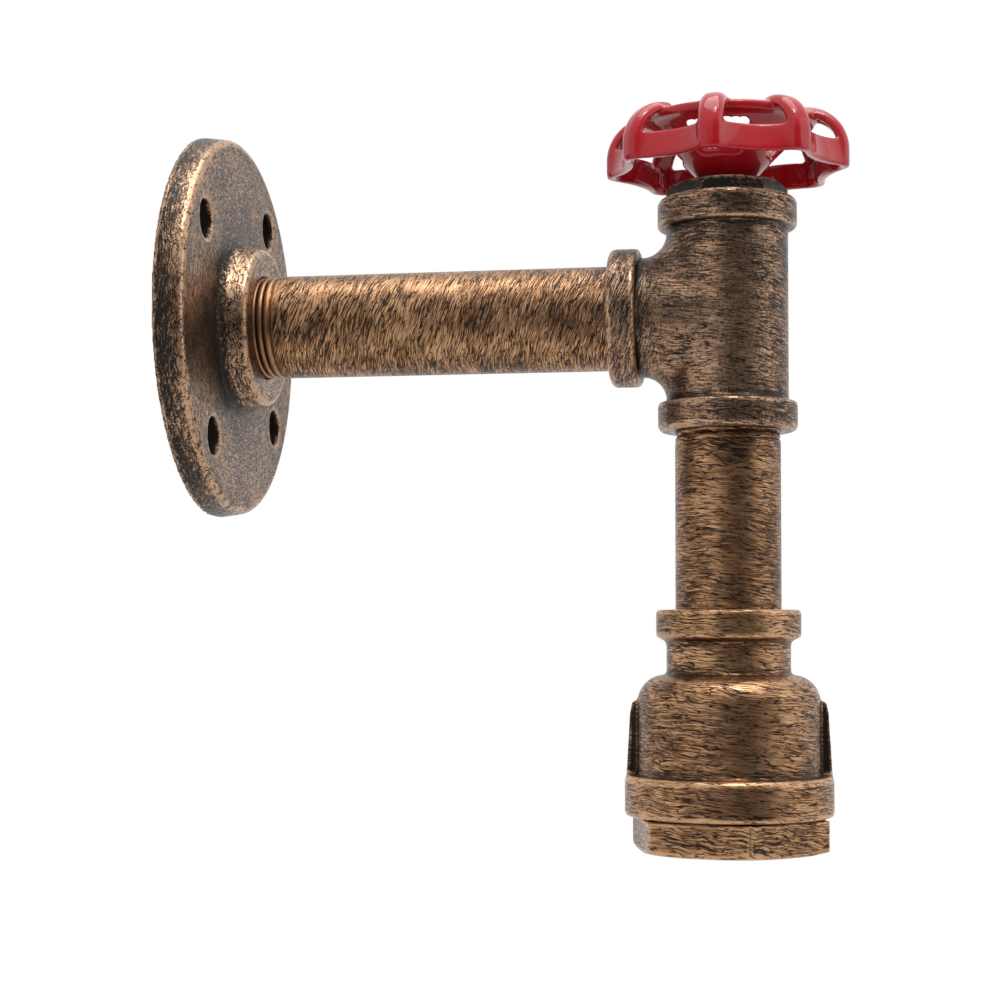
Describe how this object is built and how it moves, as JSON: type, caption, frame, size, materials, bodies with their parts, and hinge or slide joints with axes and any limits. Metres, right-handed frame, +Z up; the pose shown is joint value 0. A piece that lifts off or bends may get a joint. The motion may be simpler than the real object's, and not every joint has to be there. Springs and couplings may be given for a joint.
{
  "type": "industrial pipe wall light",
  "caption": "Wall light of iron pipe fittings: round wall flange, horizontal arm, tee with a red handwheel, drop pipe and a bell socket with a lampholder facing down.",
  "frame": {"origin": "centre of the wall flange's back face, on the wall", "axes": "+X out of the wall along the arm, +Z up, Y along the wall"},
  "size_m": [0.1666, 0.1, 0.1874],
  "materials": {
    "bronze_paint": "satin",
    "dark_paint": "satin",
    "red_enamel": "gloss",
    "zinc_steel": "satin",
    "porcelain": "glazed porcelain",
    "brass": "satin",
    "brown_lead": "satin",
    "blue_lead": "satin"
  },
  "bodies": {
    "light": {"wall_flange": "bronze_paint", "arm_pipe": "bronze_paint", "tee_fitting": "bronze_paint", "top_plug": "dark_paint", "wheel_washer": "zinc_steel", "wheel_screw": "zinc_steel", "drop_pipe": "bronze_paint", "reducing_socket": "bronze_paint", "hex_bushing": "bronze_paint", "holder_body": "porcelain", "holder_cap": "porcelain", "screw_shell": "brass", "contact_spring": "zinc_steel", "live_terminal": "brass", "neutral_terminal": "brass", "shell_rivets": "brass", "terminal_screws": "zinc_steel", "live_lead": "brown_lead", "neutral_lead": "blue_lead"},
    "wheel": {"handwheel": "red_enamel"},
    "contact": {"centre_contact": "brass"}
  },
  "joints": [
    {"name": "wheel_turn", "type": "hinge", "parent": "light", "child": "wheel", "pos_m": [0.1356, 0, 0.0371], "axis": [0, 0, 1], "continuous": true},
    {"name": "contact_press", "type": "slide", "parent": "light", "child": "contact", "axis": [0, 0, 1], "range_m": [0, 0.0015], "stiffness_N_per_m": 1500, "springref_m": -0.0006, "deforming": ["contact_spring"]}
  ]
}
